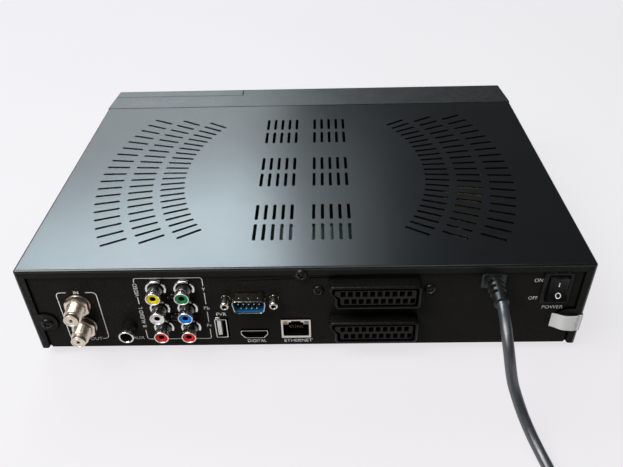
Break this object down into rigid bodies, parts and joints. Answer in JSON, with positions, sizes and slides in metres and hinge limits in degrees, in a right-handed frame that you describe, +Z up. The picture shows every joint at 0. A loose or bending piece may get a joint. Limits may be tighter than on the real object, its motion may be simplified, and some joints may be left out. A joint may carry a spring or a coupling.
{
  "type": "satellite tv receiver",
  "caption": "Flat desktop satellite receiver with vented steel cover, rear connector panel, mains switch and cord, front flap over card slots, and push buttons.",
  "frame": {"origin": "on the floor, under the middle of the case and its connectors", "axes": "+X to the right seen from the front, +Y out of the connector panel at the rear, +Z up"},
  "size_m": [0.3005, 0.4104, 0.063],
  "materials": {
    "case_paint": "semi-gloss black paint on folded sheet",
    "panel_paint": "satin black paint",
    "zinc_sheet": "zinc-plated sheet",
    "bezel_plastic": "fine-grained black",
    "smoked_pane": "polished smoked pane",
    "button_plastic": "smooth black",
    "circuit_board": "green solder mask",
    "ferrite_tape": "yellow winding tape",
    "capacitor_sleeve": "blue shrink sleeve",
    "ribbon_sheath": "grey insulation",
    "nickel_plate": "warm nickel plate",
    "socket_plastic": "black moulding",
    "jack_yellow": "coloured insert",
    "jack_white": "coloured insert",
    "jack_red": "coloured insert",
    "jack_green": "coloured insert",
    "jack_blue": "coloured insert",
    "serial_insert": "blue insert in a plated shell",
    "black_screw": "black zinc",
    "seal_paper": "bare white label stock",
    "foot_rubber": "matt black",
    "cord_sheath": "smooth black sheath"
  },
  "bodies": {
    "case": {"top_cover": "case_paint", "chassis_tray": "zinc_sheet", "rear_panel": "panel_paint", "front_bezel": "bezel_plastic", "display_window": "smoked_pane", "front_board": "circuit_board", "main_board": "circuit_board", "power_board": "circuit_board", "transformer": "ferrite_tape", "bulk_capacitor": "capacitor_sleeve", "ribbon_cable": "ribbon_sheath", "card_slot_cage": "zinc_sheet", "tuner_can": "zinc_sheet", "aerial_input": "nickel_plate", "aerial_output": "nickel_plate", "aerial_washer_upper": "nickel_plate", "aerial_washer_lower": "nickel_plate", "aerial_nut_upper": "nickel_plate", "aerial_nut_lower": "nickel_plate", "digital_jack": "socket_plastic", "phono_jack_yellow": "jack_yellow", "phono_jack_white": "jack_white", "phono_jack_red": "jack_red", "phono_jack_green": "jack_green", "phono_jack_blue": "jack_blue", "phono_jack_red_video": "jack_red", "phono_block": "socket_plastic", "phono_ground_plate": "nickel_plate", "usb_port": "zinc_sheet", "serial_port": "serial_insert", "serial_jackscrew_left": "nickel_plate", "serial_jackscrew_right": "nickel_plate", "hdmi_port": "zinc_sheet", "ethernet_port": "zinc_sheet", "scart_upper": "socket_plastic", "scart_lower": "socket_plastic", "switch_housing": "socket_plastic", "cover_screw_left": "black_screw", "cover_screw_top": "black_screw", "cover_screw_right": "black_screw", "phono_screw_lower": "black_screw", "phono_screw_upper": "black_screw", "scart_screw_right": "black_screw", "scart_screw_left": "black_screw", "paper_seal": "seal_paper", "foot_front_left": "foot_rubber", "foot_front_right": "foot_rubber", "foot_rear_left": "foot_rubber", "foot_rear_right": "foot_rubber", "cord_gland": "cord_sheath", "mains_cord": "cord_sheath", "mains_cord_coil": "cord_sheath", "mains_plug": "cord_sheath"},
    "flap": {"front_flap": "bezel_plastic"},
    "rocker": {"power_rocker": "socket_plastic"},
    "standby": {"standby_button": "button_plastic"},
    "menu_key": {"button_menu": "button_plastic"},
    "ok_key": {"button_ok": "button_plastic"},
    "channel_down_key": {"button_channel_down": "button_plastic"},
    "channel_up_key": {"button_channel_up": "button_plastic"}
  },
  "joints": [
    {"name": "flap_hinge", "type": "hinge", "parent": "case", "child": "flap", "pos_m": [0.0995, -0.11175, 0.0128], "axis": [1, 0, 0], "range_deg": [0, 90]},
    {"name": "rocker_tilt", "type": "hinge", "parent": "case", "child": "rocker", "pos_m": [-0.1319, 0.10245, 0.0473], "axis": [1, 0, 0], "range_deg": [-26, 0]},
    {"name": "standby_press", "type": "slide", "parent": "case", "child": "standby", "axis": [0, 1, 0], "range_m": [0, 0.0005], "stiffness_N_per_m": 800, "springref_m": -0.0005},
    {"name": "menu_press", "type": "slide", "parent": "case", "child": "menu_key", "axis": [0, 1, 0], "range_m": [0, 0.0005], "stiffness_N_per_m": 800, "springref_m": -0.0005},
    {"name": "ok_press", "type": "slide", "parent": "case", "child": "ok_key", "axis": [0, 1, 0], "range_m": [0, 0.0005], "stiffness_N_per_m": 800, "springref_m": -0.0005},
    {"name": "channel_down_press", "type": "slide", "parent": "case", "child": "channel_down_key", "axis": [0, 1, 0], "range_m": [0, 0.0005], "stiffness_N_per_m": 800, "springref_m": -0.0005},
    {"name": "channel_up_press", "type": "slide", "parent": "case", "child": "channel_up_key", "axis": [0, 1, 0], "range_m": [0, 0.0005], "stiffness_N_per_m": 800, "springref_m": -0.0005}
  ]
}
